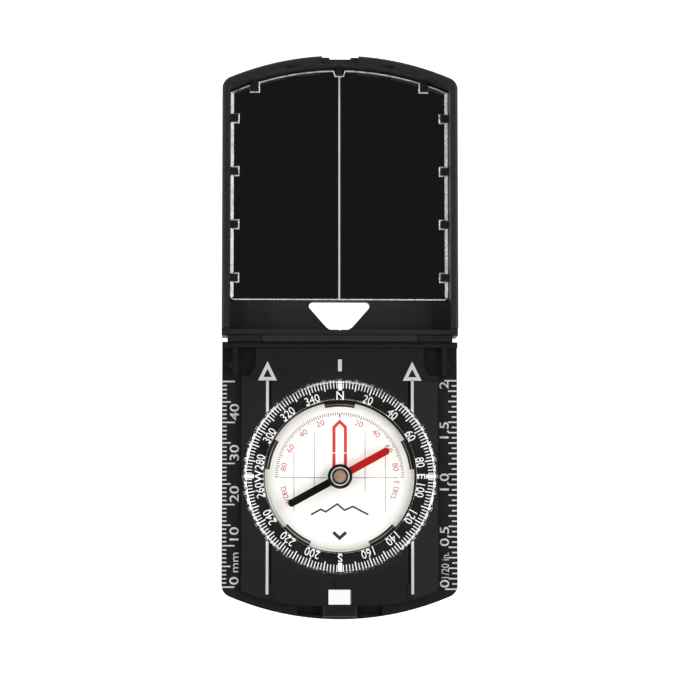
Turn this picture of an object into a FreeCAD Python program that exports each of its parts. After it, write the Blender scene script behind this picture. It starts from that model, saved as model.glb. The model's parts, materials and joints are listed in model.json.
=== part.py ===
"""Folding mirror compass, lying open: base with rulers and a turning dial, and a mirror cover hinged to it.

Millimetres, +Z up, +Y from the base towards the arched end of the cover, origin under the middle of the
open compass, on the surface it lies on. The shells are drawn from the hinge line, the dial from its centre.
"""

import FreeCAD, Part

import math
import os

from FreeCAD import Vector
from Sketcher import Constraint

SIZES = {
    # Base and cover, seen from above
    "base_width": 57.4,
    "cover_width": 57.7,
    "base_reach": 68.15,
    "cover_reach": 69.6,
    "corner_radius": 3.0,
    "end_gap": 0.78,
    "bar_depth": 1.45,
    # Heights above the surface
    "axis_height": 8.5,
    "bar_height": 8.3,
    "strip_height": 6.0,
    "rim_height": 10.9,
    # Base
    "tray_floor": 1.5,
    "deck_underside": 5.0,
    "deck_height": 7.8,
    "deck_crest": 8.05,
    "deck_outer_height": 7.35,
    "deck_half_width": 23.9,
    "deck_reach": 65.8,
    "chamber_half_width": 22.7,
    "chamber_reach": 60.3,
    "line_offset": 17.65,
    "crest_offset": 17.2,
    "groove_width": 0.65,
    "slope_start": 10.3,
    "pocket_inner": 20.4,
    "pocket_end": 9.0,
    "lanyard_width": 5.5,
    "lanyard_near": 61.0,
    "lanyard_far": 64.6,
    "tongue_half_width": 4.15,
    "tongue_reach": 67.6,
    "tongue_height": 8.0,
    "rib_inner": 24.9,
    "rib_outer": 26.1,
    "rib_height": 8.8,
    "bump_radius": 0.85,
    "bump_distance": 6.4,
    "slot_inner": 4.4,
    "slot_outer": 10.3,
    "slot_depth": 1.4,
    "lug_inner": 10.4,
    "lug_outer": 13.2,
    "lug_height": 1.1,
    "lug_reach": 0.95,
    "deck_rib_half_width": 1.1,
    "deck_rib_length": 1.8,
    "deck_rib_height": 0.4,
    # Cover and mirror
    "rim_width": 1.85,
    "cover_floor": 2.5,
    "mirror_seat": 1.6,
    "mirror_half_width": 26.8,
    "mirror_near": 10.0,
    "mirror_reach": 67.2,
    "mirror_thickness": 1.2,
    "window_top": 9.6,
    "window_bottom": 2.45,
    "window_half_top": 8.7,
    "window_half_bottom": 2.4,
    "clip_length": 1.9,
    "clip_width": 1.6,
    "clip_first": 15.55,
    "clip_pitch": 13.2,
    "clip_thickness": 0.9,
    "arch_clip_inner": 20.1,
    "arch_clip_outer": 21.7,
    "arch_clip_foot": 62.0,
    "arch_clip_root": 65.0,
    "centre_clip_reach": 1.2,
    "notch_half_width": 4.5,
    "thumb_depth": 0.25,
    "thumb_recess_depth": 0.7,
    "thumb_half_width": 2.6,
    "snap_inner": 9.8,
    "snap_height": 1.6,
    # Hinge
    "barrel_radius": 0.95,
    "barrel_clearance": 0.1,
    "centre_knuckle": 19.0,
    "end_knuckle": 27.4,
    "pin_radius": 0.5,
    "pin_clearance": 0.06,
    "pin_length": 14.0,
    "seal_height": 0.8,
    "seal_clearance": 0.15,
    # Dial
    "dial_distance": 33.6,
    "bore_radius": 20.66,
    "neck_radius": 20.6,
    "ring_inner": 18.55,
    "scale_outer": 22.9,
    "grip_outer": 23.75,
    "ring_underside": 7.95,
    "scale_top": 8.7,
    "grip_top": 10.5,
    "lobe_radius": 1.2,
    "capsule_radius": 18.5,
    "capsule_underside": 3.6,
    "card_radius": 18.2,
    "card_seat": 5.8,
    "card_thickness": 0.25,
    "dome_wall": 0.8,
    "roof_underside": 10.1,
    "roof_top": 10.9,
    "post_radius": 0.6,
    "post_tip": 8.5,
    "notch_depth": 1.05,
    "filler_radius": 0.9,
    "filler_inset": 4.5,
    # Needle
    "needle_width": 1.8,
    "red_length": 13.9,
    "black_length": 14.6,
    "needle_underside": 8.1,
    "needle_thickness": 0.35,
    "needle_bearing": 61.2,
    "hub_radius": 3.0,
    "cup_radius": 1.5,
    "hub_top": 9.25,
    "collar_inner": 2.0,
    "collar_outer": 2.3,
    "jewel_radius": 0.75,
}

GRIP_LOBES = 36
CARD_NOTCHES = 5
CARD_NOTCH_ANGLE = 24.0
CLIPS_PER_SIDE = 4

doc = FreeCAD.newDocument("MirrorCompass")
sheet = doc.addObject("Spreadsheet::Sheet", "Sizes")
for row, (alias, number) in enumerate(SIZES.items(), start=1):
    sheet.set(f"A{row}", alias)
    sheet.set(f"B{row}", str(number))
    sheet.setAlias(f"B{row}", alias)
doc.recompute()

parts = []


def size(expression):
    """The number an expression of the sheet's cells stands for."""
    result = sheet.evalExpression(expression)
    return getattr(result, "Value", result)


def cell(expression):
    """The same expression as another object reads it, with each alias looked up in the sheet."""
    words = expression.replace("(", " ( ").replace(")", " ) ").split()
    return " ".join("Sizes." + word if word in SIZES else word for word in words)


def new_part(label, origin_y="0"):
    """A body whose own origin lies on the hinge line or under the dial's centre."""
    body = doc.addObject("PartDesign::Body", label)
    body.Label = label
    body.setExpression("Placement.Base.y", cell(origin_y))
    parts.append(body)
    return body


HINGE_LINE = "( base_reach - cover_reach ) / 2"
DIAL_CENTRE = "( base_reach - cover_reach ) / 2 - dial_distance"


def new_sketch(body, role="XY_Plane", offset="0"):
    """A sketch on one of the body's origin planes, moved off it along its normal."""
    sketch = body.newObject("Sketcher::SketchObject", f"{body.Label}_sketch")
    plane = next(feature for feature in body.Origin.OriginFeatures if feature.Role == role)
    sketch.AttachmentSupport = [(plane, "")]
    sketch.MapMode = "FlatFace"
    sketch.setExpression("AttachmentOffset.Base.z", cell(offset))
    return sketch


def bind(sketch, constraint, expression):
    """Adds a dimension and ties it to the sheet."""
    index = sketch.addConstraint(constraint)
    sketch.setExpression(f"Constraints[{index}]", cell(expression))


def polygon(sketch, corners):
    """A closed outline of straight lines. Each corner is a pair of expressions."""
    points = [Vector(size(across), size(along), 0) for across, along in corners]
    first = sketch.GeometryCount
    count = len(points)
    for index, point in enumerate(points):
        sketch.addGeometry(Part.LineSegment(point, points[(index + 1) % count]), False)
    for index, (across, along) in enumerate(corners):
        line = first + index
        sketch.addConstraint(Constraint("Coincident", line, 2, first + (index + 1) % count, 1))
        bind(sketch, Constraint("DistanceX", -1, 1, line, 1, points[index].x), across)
        bind(sketch, Constraint("DistanceY", -1, 1, line, 1, points[index].y), along)


def rectangle(sketch, low, high):
    """A rectangle between two opposite corners."""
    polygon(sketch, [low, (high[0], low[1]), high, (low[0], high[1])])


def circle(sketch, radius, centre=("0", "0")):
    """A circle about a point given as a pair of expressions."""
    middle = Vector(size(centre[0]), size(centre[1]), 0)
    ring = sketch.addGeometry(Part.Circle(middle, Vector(0, 0, 1), size(radius)), False)
    bind(sketch, Constraint("DistanceX", -1, 1, ring, 3, middle.x), centre[0])
    bind(sketch, Constraint("DistanceY", -1, 1, ring, 3, middle.y), centre[1])
    bind(sketch, Constraint("Radius", ring, size(radius)), radius)


def shield(sketch, half_width, near, reach, side):
    """The outline both shells share: a straight edge at the hinge, two parallel sides and an arched far end.

    side is 1 for the cover, which runs along +Y, and -1 for the base. The arch is centred on the hinge line.
    """
    wide, close, radius = size(half_width), size(near) * side, size(reach)
    shoulder = math.sqrt(radius**2 - wide**2) * side
    ends = [Vector(-wide, close, 0), Vector(wide, close, 0), Vector(wide, shoulder, 0), Vector(-wide, shoulder, 0)]
    first = sketch.GeometryCount
    sketch.addGeometry(Part.LineSegment(ends[0], ends[1]), False)
    sketch.addGeometry(Part.LineSegment(ends[1], ends[2]), False)
    sketch.addGeometry(Part.LineSegment(ends[3], ends[0]), False)
    angles = sorted([math.atan2(ends[2].y, ends[2].x), math.atan2(ends[3].y, ends[3].x)])
    arch = Part.ArcOfCircle(Part.Circle(Vector(0, 0, 0), Vector(0, 0, 1), radius), *angles)
    sketch.addGeometry(arch, False)
    right_end, left_end = (1, 2) if side > 0 else (2, 1)
    sketch.addConstraint(Constraint("Coincident", first, 2, first + 1, 1))
    sketch.addConstraint(Constraint("Coincident", first + 2, 2, first, 1))
    sketch.addConstraint(Constraint("Coincident", first + 1, 2, first + 3, right_end))
    sketch.addConstraint(Constraint("Coincident", first + 3, left_end, first + 2, 1))
    sketch.addConstraint(Constraint("Coincident", first + 3, 3, -1, 1))
    sketch.addConstraint(Constraint("Horizontal", first))
    sketch.addConstraint(Constraint("Vertical", first + 1))
    sketch.addConstraint(Constraint("Vertical", first + 2))
    bind(sketch, Constraint("DistanceX", -1, 1, first, 1, -wide), f"0 - ( {half_width} )")
    bind(sketch, Constraint("DistanceX", -1, 1, first, 2, wide), half_width)
    bind(sketch, Constraint("DistanceY", -1, 1, first, 1, close), f"{side} * ( {near} )")
    bind(sketch, Constraint("Radius", first + 3, radius), reach)


def pad(body, sketch, length, symmetric=False):
    """Adds material from the sketch along its normal."""
    feature = body.newObject("PartDesign::Pad", f"{body.Label}_pad")
    feature.Profile = sketch
    feature.setExpression("Length", cell(length))
    feature.Midplane = symmetric
    doc.recompute()
    return feature


def pocket(body, sketch, length, symmetric=False):
    """Cuts from the sketch along its normal, upwards from a flat sketch, and checks that something was cut."""
    before = body.Shape.Volume
    feature = body.newObject("PartDesign::Pocket", f"{body.Label}_pocket")
    feature.Profile = sketch
    feature.setExpression("Length", cell(length))
    feature.Midplane = symmetric
    feature.Reversed = not symmetric
    doc.recompute()
    if body.Shape.Volume > before - 1e-3:
        raise RuntimeError(f"{feature.Name} of {body.Label} cuts nothing")
    return feature


def revolve(body, profile):
    """A turned piece: the profile's corners are pairs of radius and height expressions."""
    sketch = new_sketch(body, "XZ_Plane")
    polygon(sketch, profile)
    feature = body.newObject("PartDesign::Revolution", f"{body.Label}_turned")
    feature.Profile = sketch
    feature.ReferenceAxis = (sketch, ["V_Axis"])
    feature.Angle = 360.0
    doc.recompute()
    return feature


def repeat_round(body, features, count):
    """Repeats features round the body's own Z axis."""
    pattern = body.newObject("PartDesign::PolarPattern", f"{body.Label}_round")
    pattern.Originals = features
    axis = next(feature for feature in body.Origin.OriginFeatures if feature.Role == "Z_Axis")
    pattern.Axis = (axis, [""])
    pattern.Angle = 360.0
    pattern.Occurrences = count
    body.Tip = pattern
    doc.recompute()


def mirror_across(body, features):
    """Repeats features on the other side of the middle plane."""
    twin = body.newObject("PartDesign::Mirrored", f"{body.Label}_twin")
    twin.Originals = features
    plane = next(feature for feature in body.Origin.OriginFeatures if feature.Role == "YZ_Plane")
    twin.MirrorPlane = (plane, [""])
    body.Tip = twin
    doc.recompute()


def round_edges(body, radius, chosen):
    """Rounds the edges that chosen(edge, its middle) picks."""
    base = body.Tip
    names = []
    for number, edge in enumerate(base.Shape.Edges, start=1):
        middle = edge.valueAt((edge.FirstParameter + edge.LastParameter) / 2)
        if chosen(edge, middle):
            names.append(f"Edge{number}")
    if not names:
        raise RuntimeError(f"No edge of {body.Label} to round")
    feature = body.newObject("PartDesign::Fillet", f"{body.Label}_round")
    feature.Base = (base, names)
    feature.Radius = radius
    doc.recompute()
    if "Invalid" in feature.State:
        raise RuntimeError(f"{feature.Name} of {body.Label} can't round {', '.join(names)} by {radius}")


def upright(edge, middle):
    """Whether an edge stands straight up."""
    box = edge.BoundBox
    return box.XLength < 1e-6 and box.YLength < 1e-6 and box.ZLength > 0.1


def level(edge, height):
    """Whether an edge lies at one height."""
    return abs(edge.BoundBox.ZMin - height) < 1e-6 and abs(edge.BoundBox.ZMax - height) < 1e-6


def knuckle(body, start, stop, side, twin):
    """A hinge barrel on the axis and the web that joins it to its shell. Returns the features made."""
    features = []
    barrel = new_sketch(body, "YZ_Plane", start)
    circle(barrel, "barrel_radius", ("0", "axis_height"))
    features.append(pad(body, barrel, f"{stop} - ( {start} )"))
    web = new_sketch(body, "YZ_Plane", start)
    rectangle(web, ("0", "axis_height - 1.7"), (f"{side} * ( end_gap + 0.3 )", "axis_height - 0.1"))
    features.append(pad(body, web, f"{stop} - ( {start} )"))
    if twin:
        mirror_across(body, features)


def axis_cut(body, radius, start, stop, twin):
    """A round cut along the hinge axis, as a bore or as room for the other shell's barrel."""
    sketch = new_sketch(body, "YZ_Plane", start)
    circle(sketch, radius, ("0", "axis_height"))
    feature = pocket(body, sketch, f"{stop} - ( {start} )")
    if twin:
        mirror_across(body, [feature])


def make_base_tray():
    """The lower shell: ruler strips, floor, hinge ridge, dust lip, lanyard hole, tongue and detent ribs."""
    body = new_part("base_tray", HINGE_LINE)
    outline = new_sketch(body)
    shield(outline, "base_width / 2", "end_gap", "base_reach", -1)
    pad(body, outline, "strip_height")
    round_edges(body, size("corner_radius"), lambda edge, middle: upright(edge, middle) and middle.y < -20)

    recess = new_sketch(body, offset="deck_underside")
    shield(recess, "deck_half_width", "end_gap + bar_depth", "deck_reach", -1)
    pocket(body, recess, "strip_height")
    chamber = new_sketch(body, offset="tray_floor")
    shield(chamber, "chamber_half_width", "end_gap + bar_depth + 1.2", "chamber_reach", -1)
    pocket(body, chamber, "strip_height")

    tongue = new_sketch(body, offset="deck_underside")
    rectangle(tongue, ("0 - tongue_half_width", "0 - tongue_reach"), ("tongue_half_width", "0 - lanyard_far"))
    pad(body, tongue, "tongue_height - deck_underside")
    round_edges(body, 0.5, lambda edge, middle: level(edge, size("tongue_height")))

    hole = new_sketch(body)
    rectangle(hole, ("0 - lanyard_width / 2", "0 - lanyard_far"), ("lanyard_width / 2", "0 - lanyard_near"))
    pocket(body, hole, "deck_height")

    rim_cut = new_sketch(body, offset="strip_height - slot_depth")
    rectangle(rim_cut, ("slot_inner", "0 - deck_reach - 1.3"), ("slot_outer", "0 - deck_reach + 1"))
    mirror_across(body, [pocket(body, rim_cut, "strip_height")])
    lug = new_sketch(body, offset="strip_height - 0.5")
    rectangle(lug, ("lug_inner", "0 - deck_reach + 0.2"), ("lug_outer", "lug_reach - deck_reach"))
    mirror_across(body, [pad(body, lug, "lug_height + 0.5")])

    rib = new_sketch(body, offset="strip_height - 0.5")
    rectangle(rib, ("rib_inner", "0 - pocket_end"), ("rib_outer", "0 - end_gap - bar_depth"))
    rib_pad = pad(body, rib, "rib_height - strip_height + 0.5")
    bump = new_sketch(body, offset="strip_height - 0.5")
    circle(bump, "bump_radius", ("rib_outer", "0 - bump_distance"))
    mirror_across(body, [rib_pad, pad(body, bump, "rib_height - strip_height + 0.3")])

    ridge = new_sketch(body, "YZ_Plane")
    rectangle(ridge, ("0 - end_gap - bar_depth", "strip_height - 1"), ("0 - end_gap", "bar_height"))
    pad(body, ridge, "base_width", symmetric=True)
    ridge_top = size("bar_height")
    round_edges(body, 0.5, lambda edge, middle: level(edge, ridge_top) and edge.Length > 20)
    seal = new_sketch(body)
    rectangle(seal, ("0 - end_knuckle", "0 - end_gap - 0.2"), ("end_knuckle", "end_gap - seal_clearance"))
    pad(body, seal, "seal_height")
    axis_cut(body, "barrel_radius + barrel_clearance", "0 - centre_knuckle - 0.1", "centre_knuckle + 0.1", False)
    knuckle(body, "centre_knuckle + 0.2", "end_knuckle", -1, True)
    axis_cut(body, "pin_radius", "centre_knuckle", "end_knuckle + 1", True)

    round_edges(body, 0.8, lambda edge, middle: level(edge, 0) and edge.Length > 10 and middle.y < -5)


def make_deck_plate():
    """The raised deck let into the tray: level between the two direction lines, sloping down outside them."""
    body = new_part("deck_plate", HINGE_LINE)
    outline = new_sketch(body, offset="deck_underside")
    shield(outline, "deck_half_width", "end_gap + bar_depth", "deck_reach", -1)
    pad(body, outline, "deck_crest - deck_underside")

    bore = new_sketch(body)
    circle(bore, "bore_radius", ("0", "0 - dial_distance"))
    pocket(body, bore, "axis_height + 1")
    hole = new_sketch(body)
    rectangle(hole, ("0 - lanyard_width / 2", "0 - lanyard_far - 0.5"), ("lanyard_width / 2", "0 - lanyard_near"))
    pocket(body, hole, "axis_height + 1")
    tongue = new_sketch(body)
    rectangle(tongue, ("0 - tongue_half_width", "0 - base_reach"), ("tongue_half_width", "0 - lanyard_far"))
    pocket(body, tongue, "axis_height + 1")
    lug = new_sketch(body)
    rectangle(lug, ("slot_inner", "0 - deck_reach - 1"), ("lug_outer", "lug_reach - deck_reach"))
    mirror_across(body, [pocket(body, lug, "axis_height + 1")])

    middle_zone = new_sketch(body, offset="deck_height")
    rectangle(middle_zone, ("groove_width - crest_offset", "0 - base_reach"), ("crest_offset - groove_width", "0"))
    pocket(body, middle_zone, "2")
    hinge_zone = new_sketch(body, offset="deck_height")
    rectangle(hinge_zone, ("0 - base_width", "0 - slope_start"), ("base_width", "0"))
    pocket(body, hinge_zone, "2")

    edge_slope = new_sketch(body, "XZ_Plane", "slope_start")
    polygon(edge_slope, [("line_offset", "deck_crest"), ("deck_half_width + 0.1", "deck_outer_height"),
                         ("deck_half_width + 0.1", "deck_crest + 1"), ("line_offset", "deck_crest + 1")])
    mirror_across(body, [pocket(body, edge_slope, "base_reach")])
    ring_seat = new_sketch(body, offset="deck_height")
    circle(ring_seat, "grip_outer + 0.2", ("0", "0 - dial_distance"))
    pocket(body, ring_seat, "2")
    groove = new_sketch(body, "XZ_Plane", "slope_start")
    polygon(groove, [("crest_offset - groove_width", "deck_height"), ("crest_offset - 0.2", "deck_height - 0.4"),
                     ("crest_offset", "deck_crest + 0.1"), ("crest_offset - groove_width", "deck_crest + 0.1")])
    mirror_across(body, [pocket(body, groove, "lanyard_far - slope_start - 5")])

    corner = new_sketch(body, offset="strip_height")
    polygon(corner, [("deck_half_width + 0.1", "0 - end_gap - bar_depth + 0.1"),
                     ("pocket_inner", "0 - end_gap - bar_depth + 0.1"),
                     ("pocket_inner", "0 - bump_distance"), ("pocket_inner + 1.6", "0 - pocket_end"),
                     ("deck_half_width + 0.1", "0 - pocket_end")])
    mirror_across(body, [pocket(body, corner, "deck_height")])

    rib = new_sketch(body, offset="deck_height - 0.3")
    rib_start = "0.3 - lanyard_near"
    rectangle(rib, ("0 - deck_rib_half_width", rib_start),
              ("deck_rib_half_width", f"{rib_start} + deck_rib_length"))
    pad(body, rib, "deck_rib_height + 0.3")


def make_mirror_cover():
    """The upper shell: a shallow tray with a mirror seat, retaining clips, a sighting window and a knuckle."""
    body = new_part("mirror_cover", HINGE_LINE)
    outline = new_sketch(body)
    shield(outline, "cover_width / 2", "end_gap", "cover_reach", 1)
    pad(body, outline, "rim_height")
    round_edges(body, size("corner_radius"), lambda edge, middle: upright(edge, middle) and middle.y > 20)
    cavity = new_sketch(body, offset="cover_floor")
    shield(cavity, "cover_width / 2 - rim_width", "end_gap + bar_depth", "cover_reach - rim_width", 1)
    pocket(body, cavity, "rim_height")
    seat = new_sketch(body, offset="mirror_seat")
    shield(seat, "mirror_half_width + 0.05", "mirror_near - 0.05", "mirror_reach + 0.05", 1)
    pocket(body, seat, "rim_height")

    step = new_sketch(body, offset="bar_height")
    rectangle(step, ("0 - cover_width", "0"), ("cover_width", "end_gap + bar_depth + 0.4"))
    pocket(body, step, "rim_height")
    rim = size("rim_height")
    half = size("cover_width") / 2
    round_edges(body, 0.8, lambda edge, middle: level(edge, rim) and edge.Length > 3
                and (abs(middle.x) > half - 1.2 or middle.y > size("cover_reach") - 1))
    round_edges(body, 0.6, lambda edge, middle: level(edge, 0) and middle.y > 5)

    notch = new_sketch(body, offset="axis_height + 0.1")
    rectangle(notch, ("0 - notch_half_width", "mirror_reach"), ("notch_half_width", "cover_reach + 1"))
    pocket(body, notch, "rim_height")
    thumb_face = new_sketch(body)
    rectangle(thumb_face, ("0 - notch_half_width", "cover_reach - thumb_depth"),
              ("notch_half_width", "cover_reach + 1"))
    pocket(body, thumb_face, "rim_height")
    thumb_recess = new_sketch(body, offset="cover_floor")
    rectangle(thumb_recess, ("0 - thumb_half_width", "cover_reach - thumb_recess_depth"),
              ("thumb_half_width", "cover_reach + 1"))
    pocket(body, thumb_recess, "rim_height")
    snap = new_sketch(body, offset="rim_height - snap_height")
    rectangle(snap, ("snap_inner", "cover_reach - rim_width - 2"),
              ("lug_outer", "cover_reach - rim_width - 0.6"))
    mirror_across(body, [pocket(body, snap, "rim_height")])

    window = new_sketch(body)
    polygon(window, [("0 - window_half_top", "window_top"), ("0 - window_half_bottom", "window_bottom"),
                     ("0 - 0.5", "window_bottom"), ("0", "window_bottom - 0.45"), ("0.5", "window_bottom"),
                     ("window_half_bottom", "window_bottom"), ("window_half_top", "window_top")])
    pocket(body, window, "rim_height")
    top, bottom = size("window_top"), size("window_bottom")
    round_edges(body, 1.0, lambda edge, middle: upright(edge, middle) and abs(middle.y - top) < 0.01)
    round_edges(body, 3.6, lambda edge, middle: upright(edge, middle) and abs(middle.y - bottom) < 0.01
                and abs(middle.x) > 1)

    wall = "cover_width / 2 - rim_width"
    clips = []
    for index in range(CLIPS_PER_SIDE):
        clip = new_sketch(body, offset="mirror_seat + mirror_thickness + 0.1")
        middle = f"clip_first + {index} * clip_pitch"
        rectangle(clip, (f"{wall} - clip_length", f"{middle} - clip_width / 2"),
                  (f"{wall} + 0.5", f"{middle} + clip_width / 2"))
        clips.append(pad(body, clip, "clip_thickness"))
    arch_clip = new_sketch(body, offset="mirror_seat + mirror_thickness + 0.1")
    rectangle(arch_clip, ("arch_clip_inner", "arch_clip_foot"), ("arch_clip_outer", "arch_clip_root"))
    clips.append(pad(body, arch_clip, "clip_thickness"))
    mirror_across(body, clips)
    centre_clip = new_sketch(body, offset="mirror_seat + mirror_thickness + 0.1")
    foot = "mirror_reach - centre_clip_reach"
    polygon(centre_clip, [("0 - 0.7", foot), ("0.7", foot),
                          ("1.0", "cover_reach - rim_width + 0.3"), ("0 - 1.0", "cover_reach - rim_width + 0.3")])
    pad(body, centre_clip, "clip_thickness")

    relief = "barrel_radius + barrel_clearance"
    axis_cut(body, relief, "centre_knuckle + 0.1", "end_knuckle + 0.1", True)
    knuckle(body, "0 - centre_knuckle", "centre_knuckle", 1, False)
    axis_cut(body, "pin_radius + pin_clearance", "end_knuckle - pin_length - 0.2", "centre_knuckle + 1", True)


def make_mirror():
    """The flat mirror plate, with its upper edge bevelled."""
    body = new_part("mirror", HINGE_LINE)
    outline = new_sketch(body, offset="mirror_seat")
    shield(outline, "mirror_half_width", "mirror_near", "mirror_reach", 1)
    pad(body, outline, "mirror_thickness")
    round_edges(body, 1.2, lambda edge, middle: upright(edge, middle) and middle.y < 20)
    top = size("mirror_seat + mirror_thickness")
    blank = body.Tip
    rim = [f"Edge{number}" for number, edge in enumerate(blank.Shape.Edges, start=1) if level(edge, top)]
    bevel = body.newObject("PartDesign::Chamfer", "mirror_bevel")
    bevel.Base = (blank, rim)
    bevel.Size = 0.35
    doc.recompute()


def make_hinge_pins():
    """Two short steel pins, pressed into the tray's end knuckles, on which the cover's long knuckle turns."""
    for label, start in (("hinge_pin_left", "0 - end_knuckle"), ("hinge_pin_right", "end_knuckle - pin_length")):
        pin = doc.addObject("Part::Cylinder", label)
        pin.Label = label
        pin.setExpression("Radius", cell("pin_radius"))
        pin.setExpression("Height", cell("pin_length"))
        pin.Placement = FreeCAD.Placement(Vector(0, 0, 0), FreeCAD.Rotation(Vector(0, 1, 0), 90))
        pin.setExpression("Placement.Base.x", cell(start))
        pin.setExpression("Placement.Base.y", cell(HINGE_LINE))
        pin.setExpression("Placement.Base.z", cell("axis_height"))
        parts.append(pin)


def make_dial_rings():
    """The black scale ring with its neck, the clear grip ring over it, and the ring that holds both in the deck."""
    scale = new_part("scale_ring", DIAL_CENTRE)
    groove = "neck_radius - 0.6"
    revolve(scale, [("ring_inner", "capsule_underside - 1"), ("neck_radius", "capsule_underside - 1"),
                    ("neck_radius", "deck_underside - 1"), (groove, "deck_underside - 1"),
                    (groove, "deck_underside - 0.1"), ("neck_radius", "deck_underside - 0.1"),
                    ("neck_radius", "ring_underside"), ("scale_outer", "ring_underside"),
                    ("scale_outer", "scale_top"), ("ring_inner", "scale_top")])

    grip = new_part("grip_ring", DIAL_CENTRE)
    core = "grip_outer - 0.35"
    revolve(grip, [("ring_inner", "scale_top"), ("scale_outer", "scale_top"), ("scale_outer", "ring_underside"),
                   (core, "ring_underside"), (core, "grip_top - 0.5"), (f"{core} - 0.5", "grip_top"),
                   ("ring_inner + 0.3", "grip_top"), ("ring_inner", "grip_top - 0.3")])
    lobe = new_sketch(grip, offset="ring_underside")
    circle(lobe, "lobe_radius", ("grip_outer - lobe_radius", "0"))
    lobe_pad = pad(grip, lobe, "grip_top - ring_underside - 0.75")
    repeat_round(grip, [lobe_pad], GRIP_LOBES)
    well = new_sketch(grip)
    circle(well, "scale_outer")
    pocket(grip, well, "scale_top")

    clip = new_part("retaining_ring", DIAL_CENTRE)
    revolve(clip, [(groove, "deck_underside - 0.95"), ("neck_radius + 1.3", "deck_underside - 0.95"),
                   ("neck_radius + 1.3", "deck_underside - 0.15"), (groove, "deck_underside - 0.15")])


def make_capsule():
    """The sealed capsule: base cup, dial card, gasket, clear dome, pivot post and filler plug."""
    lip = "card_radius + 0.02"
    card_top = "card_seat + card_thickness"
    base = new_part("capsule_base", DIAL_CENTRE)
    revolve(base, [("0", "capsule_underside + 1"), ("capsule_radius - 4.5", "capsule_underside + 1"),
                   ("capsule_radius - 3.5", "capsule_underside"), ("capsule_radius", "capsule_underside"),
                   ("capsule_radius", "card_seat + 0.2"), (lip, "card_seat + 0.2"), (lip, "card_seat"),
                   ("0", "card_seat")])
    post_bore = new_sketch(base, offset="capsule_underside + 1.4")
    circle(post_bore, "post_radius")
    pocket(base, post_bore, "card_seat")
    filler = new_sketch(base)
    circle(filler, "filler_radius", ("0", "filler_inset - capsule_radius"))
    pocket(base, filler, "card_seat + 1")

    card = new_part("dial_card", DIAL_CENTRE)
    disc = new_sketch(card, offset="card_seat")
    circle(disc, "card_radius")
    circle(disc, "post_radius + 0.02")
    pad(card, disc, "card_thickness")
    half_angle = math.radians(CARD_NOTCH_ANGLE / 2)
    notch = new_sketch(card, offset="card_seat")
    inner = size("card_radius - notch_depth")
    outer = size("card_radius + 0.5")
    turn = math.pi / 2
    arcs = []
    for radius in (inner, outer):
        ring = Part.Circle(Vector(0, 0, 0), Vector(0, 0, 1), radius)
        arcs.append(Part.ArcOfCircle(ring, turn - half_angle, turn + half_angle))
    notch.addGeometry(arcs[0], False)
    notch.addGeometry(arcs[1], False)
    notch.addGeometry(Part.LineSegment(arcs[0].StartPoint, arcs[1].StartPoint), False)
    notch.addGeometry(Part.LineSegment(arcs[1].EndPoint, arcs[0].EndPoint), False)
    for first, first_end, second, second_end in ((0, 1, 2, 1), (2, 2, 1, 1), (1, 2, 3, 1), (3, 2, 0, 2)):
        notch.addConstraint(Constraint("Coincident", first, first_end, second, second_end))
    for arc in (0, 1):
        notch.addConstraint(Constraint("Coincident", arc, 3, -1, 1))
    bind(notch, Constraint("Radius", 0, inner), "card_radius - notch_depth")
    bind(notch, Constraint("Radius", 1, outer), "card_radius + 0.5")
    notch_cut = pocket(card, notch, "1")
    repeat_round(card, [notch_cut], CARD_NOTCHES)

    seal = new_part("capsule_seal", DIAL_CENTRE)
    revolve(seal, [(lip, "card_seat + 0.2"), ("capsule_radius", "card_seat + 0.2"),
                   ("capsule_radius", "card_seat + 0.4"), (lip, "card_seat + 0.4")])

    dome = new_part("capsule_dome", DIAL_CENTRE)
    wall = "capsule_radius - dome_wall"
    revolve(dome, [(wall, card_top), (lip, card_top), (lip, "card_seat + 0.4"),
                   ("capsule_radius", "card_seat + 0.4"), ("capsule_radius", "roof_top - 0.5"),
                   ("capsule_radius - 0.5", "roof_top"), ("0", "roof_top"), ("0", "roof_underside"),
                   (f"{wall} - 0.5", "roof_underside"), (wall, "roof_underside - 0.5")])

    post = new_part("pivot_post", DIAL_CENTRE)
    revolve(post, [("0", "capsule_underside + 1.4"), ("post_radius", "capsule_underside + 1.4"),
                   ("post_radius", "post_tip - 1.2"), ("0.35", "post_tip - 0.9"), ("0.08", "post_tip"),
                   ("0", "post_tip")])

    plug = new_part("filler_plug", DIAL_CENTRE)
    stopper = new_sketch(plug, offset="capsule_underside + 0.6")
    circle(stopper, "filler_radius", ("0", "filler_inset - capsule_radius"))
    pad(plug, stopper, "card_seat - capsule_underside - 0.6")


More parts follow.
